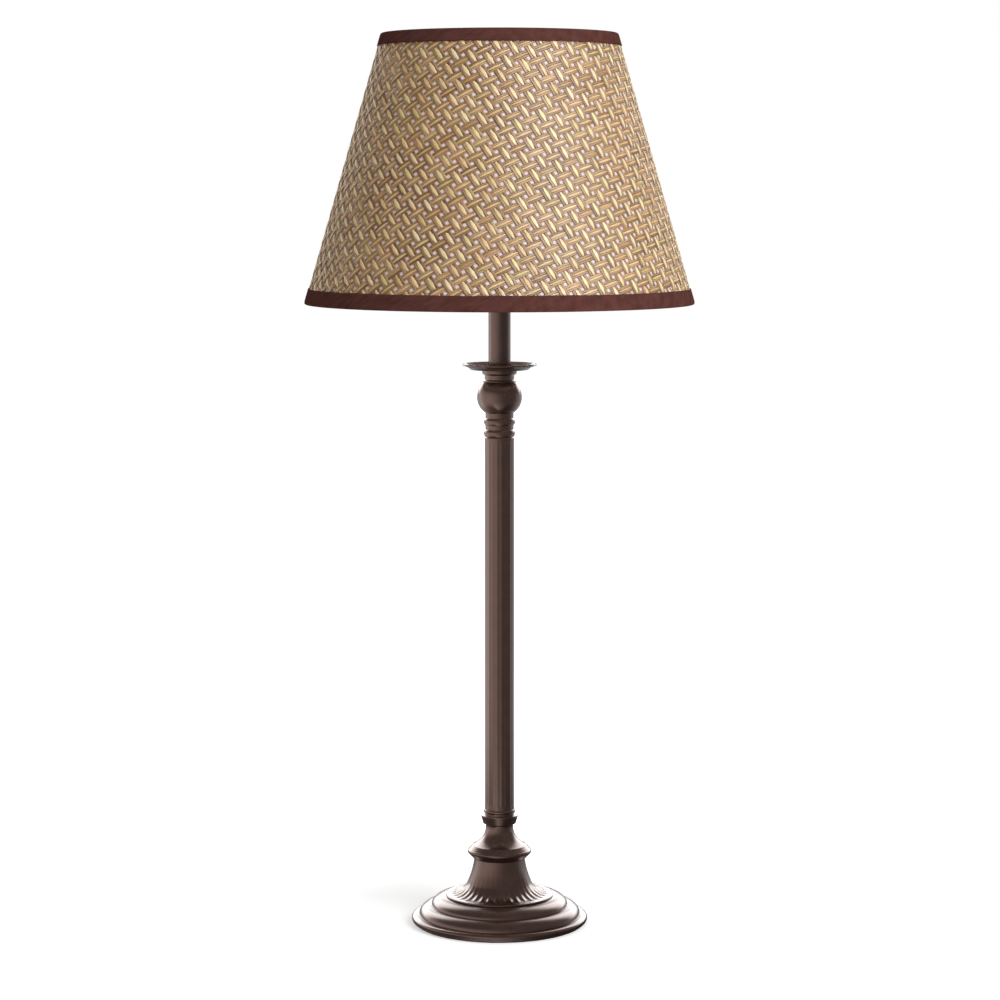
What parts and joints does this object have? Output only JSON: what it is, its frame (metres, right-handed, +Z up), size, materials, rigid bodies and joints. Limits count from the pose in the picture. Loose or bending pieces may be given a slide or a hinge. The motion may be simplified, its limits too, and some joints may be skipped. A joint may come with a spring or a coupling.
{
  "type": "table lamp base with shade",
  "caption": "Table lamp: stepped round foot, fluted bell and column, ball, drip pan and candle tube, with a lift-off tapered woven shade.",
  "frame": {"origin": "centre of the underside of the felt pad, where the lamp stands on the table", "axes": "+Z up along the stem; -Y towards the viewer of the picture; the cord entry is at the back, on +Y; +X is the switch bar's push direction"},
  "size_m": [0.35, 0.35, 0.8064],
  "materials": {
    "bronze": "dark brown bronze lacquer, satin",
    "iron": "rough cast",
    "felt": "dense felt",
    "bush": "moulded, matt",
    "steel": "zinc plated",
    "frame_wire": "off-white powder coat",
    "holder_plastic": "black moulding",
    "switch_metal": "bright drawn",
    "ceramic": "unglazed white",
    "brass": "bright turned",
    "weave": "woven straw strips over brown cord",
    "backing": "cream laminate",
    "tape": "maroon-brown tape, plain weave",
    "bulb_glass": "frosted",
    "bulb_metal": "rolled thread",
    "bulb_black": "black glass insulator"
  },
  "bodies": {
    "root": {"foot_casting": "bronze", "bell": "bronze", "bell_cap": "bronze", "column_socket": "bronze", "column": "bronze", "bead_collar": "bronze", "ball_knop": "bronze", "neck_ring": "bronze", "drip_pan": "bronze", "candle_tube": "bronze", "candle_plug": "bronze", "foot_weight": "iron", "felt_pad": "felt", "cord_bush": "bush", "stem_rod": "steel", "rod_nut": "steel", "rod_washer": "steel", "holder_cap": "holder_plastic", "holder_skirt": "holder_plastic", "holder_insulator": "ceramic", "terminal_screws": "brass", "screw_shell": "brass", "centre_contact": "brass"},
    "switch": {"switch_bar": "switch_metal", "switch_buttons": "holder_plastic"},
    "bulb": {"bulb_contact": "brass", "bulb_insulator": "bulb_black", "bulb_cap": "bulb_metal", "bulb_glass": "bulb_glass"},
    "shade": {"shade_weave": "weave", "shade_backing": "backing", "top_trim": "tape", "bottom_trim": "tape", "bottom_wire": "frame_wire", "top_wire": "frame_wire", "gimbal_plate": "frame_wire", "gimbal_arms": "frame_wire"},
    "shade_ring": {"retaining_ring": "holder_plastic"}
  },
  "joints": [
    {"name": "switch_push", "type": "slide", "parent": "root", "child": "switch", "axis": [1, 0, 0], "range_m": [0, 0.006]},
    {"name": "bulb_unscrew", "type": "slide", "parent": "root", "child": "bulb", "axis": [0, 0, 1], "range_m": [0, 0.03]},
    {"name": "shade_lift", "type": "slide", "parent": "root", "child": "shade", "axis": [0, 0, 1], "range_m": [0, 0.105]},
    {"name": "ring_turn", "type": "hinge", "parent": "shade", "child": "shade_ring", "pos_m": [0, 0, 0.6518], "axis": [0, 0, 1], "continuous": true}
  ]
}
